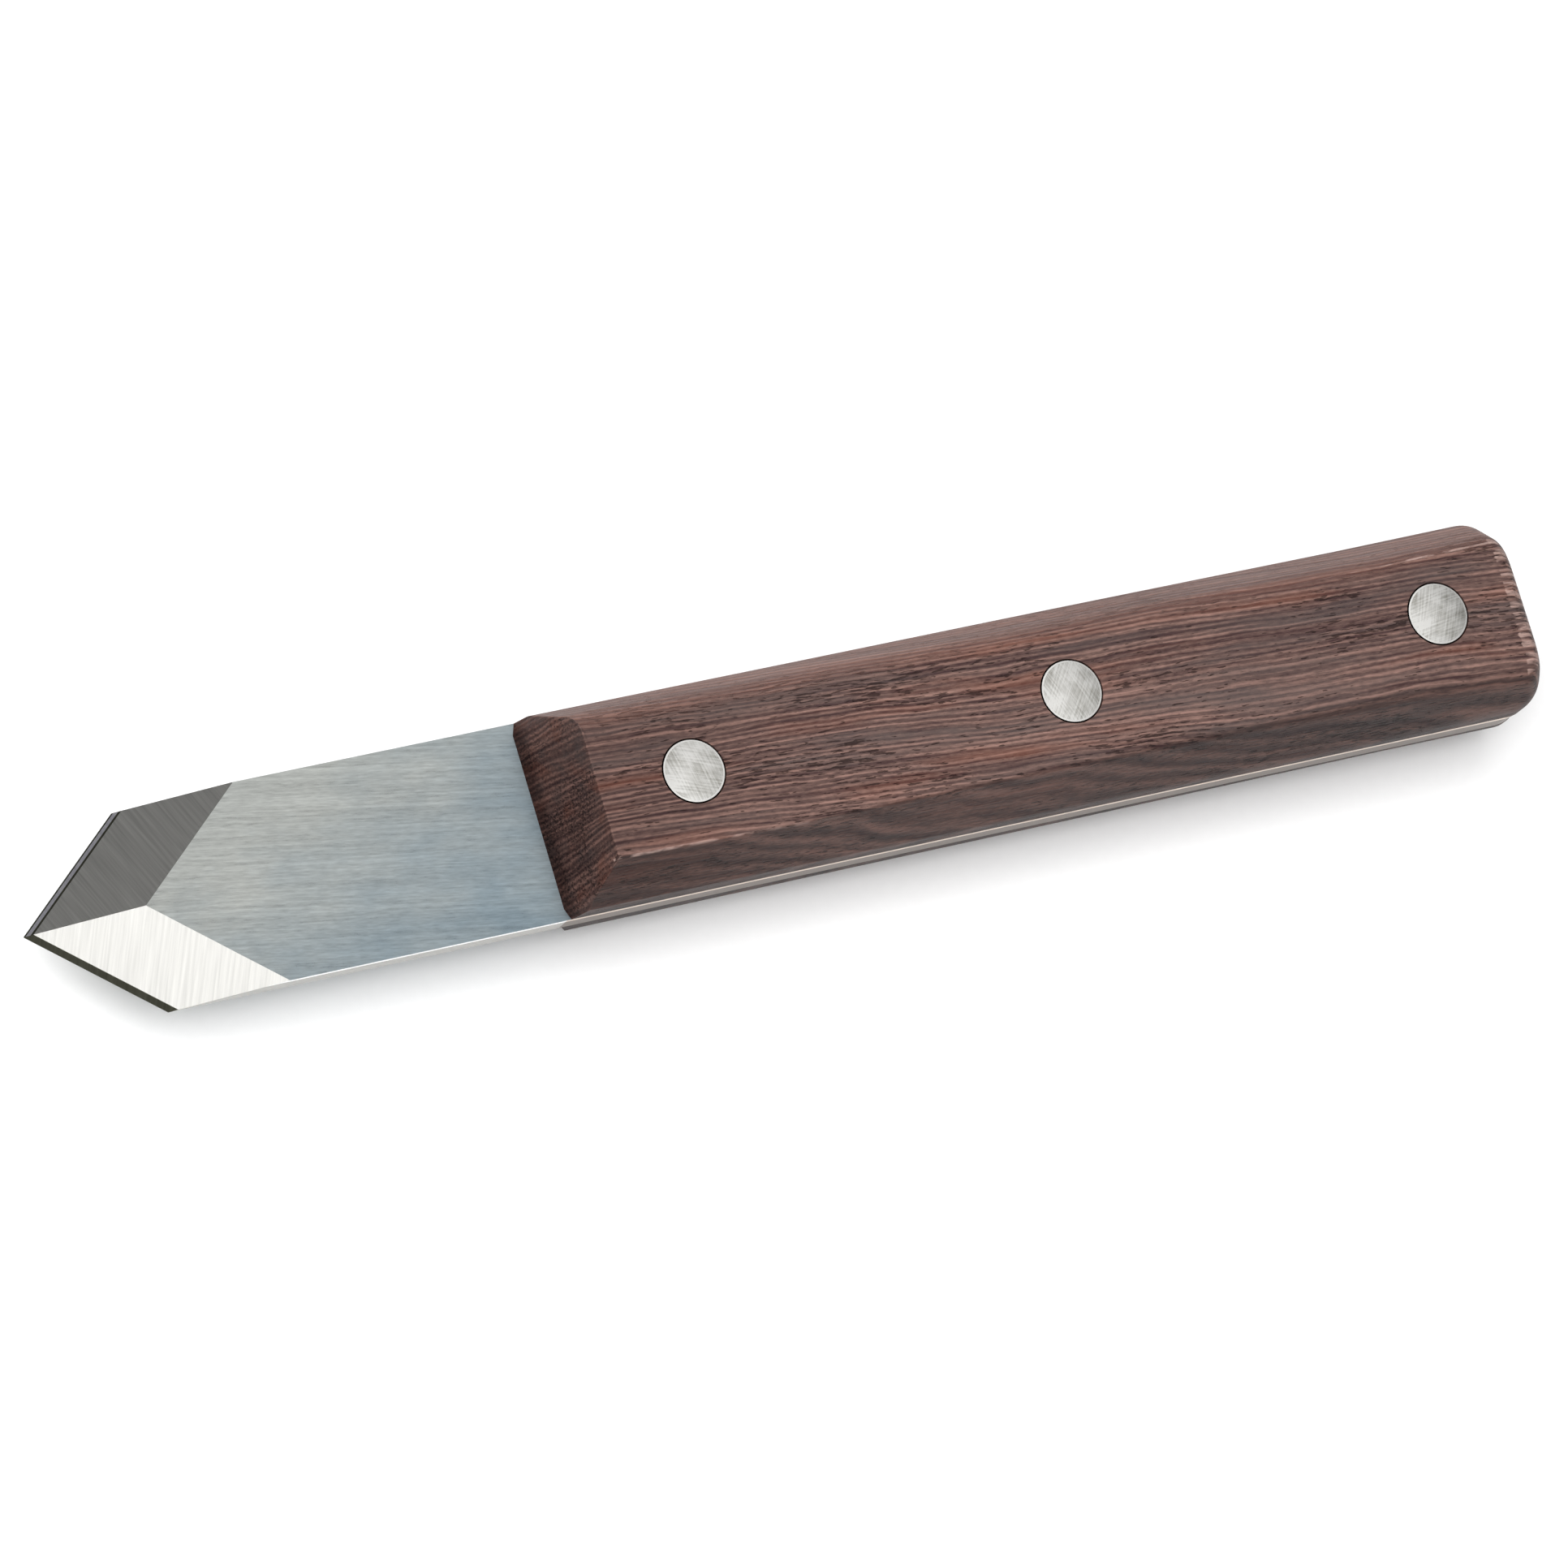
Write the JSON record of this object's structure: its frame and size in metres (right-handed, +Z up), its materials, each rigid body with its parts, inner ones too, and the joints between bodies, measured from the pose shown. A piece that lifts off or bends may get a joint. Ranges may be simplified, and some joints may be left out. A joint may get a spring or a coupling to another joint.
{
  "type": "marking knife",
  "caption": "Full-tang knife with a flat-backed spear-point blade, double-bevelled, and chamfered dark wooden scales held by cutler's rivets.",
  "frame": {"origin": "on the plane that the lower scale rests on, under the middle of the bounding box", "axes": "+X along the knife from the point towards the butt, +Y across the blade, +Z up through the bevelled side of the blade"},
  "size_m": [0.1782, 0.0226, 0.022],
  "materials": {
    "ground_steel": "ground and brushed",
    "dark_wood": "satin oil",
    "rivet_metal": "satin"
  },
  "bodies": {
    "root": {"blade": "ground_steel", "upper_scale": "dark_wood", "lower_scale": "dark_wood", "front_rivet_barrel": "rivet_metal", "front_rivet_stem": "rivet_metal", "middle_rivet_barrel": "rivet_metal", "middle_rivet_stem": "rivet_metal", "rear_rivet_barrel": "rivet_metal", "rear_rivet_stem": "rivet_metal"}
  },
  "joints": []
}
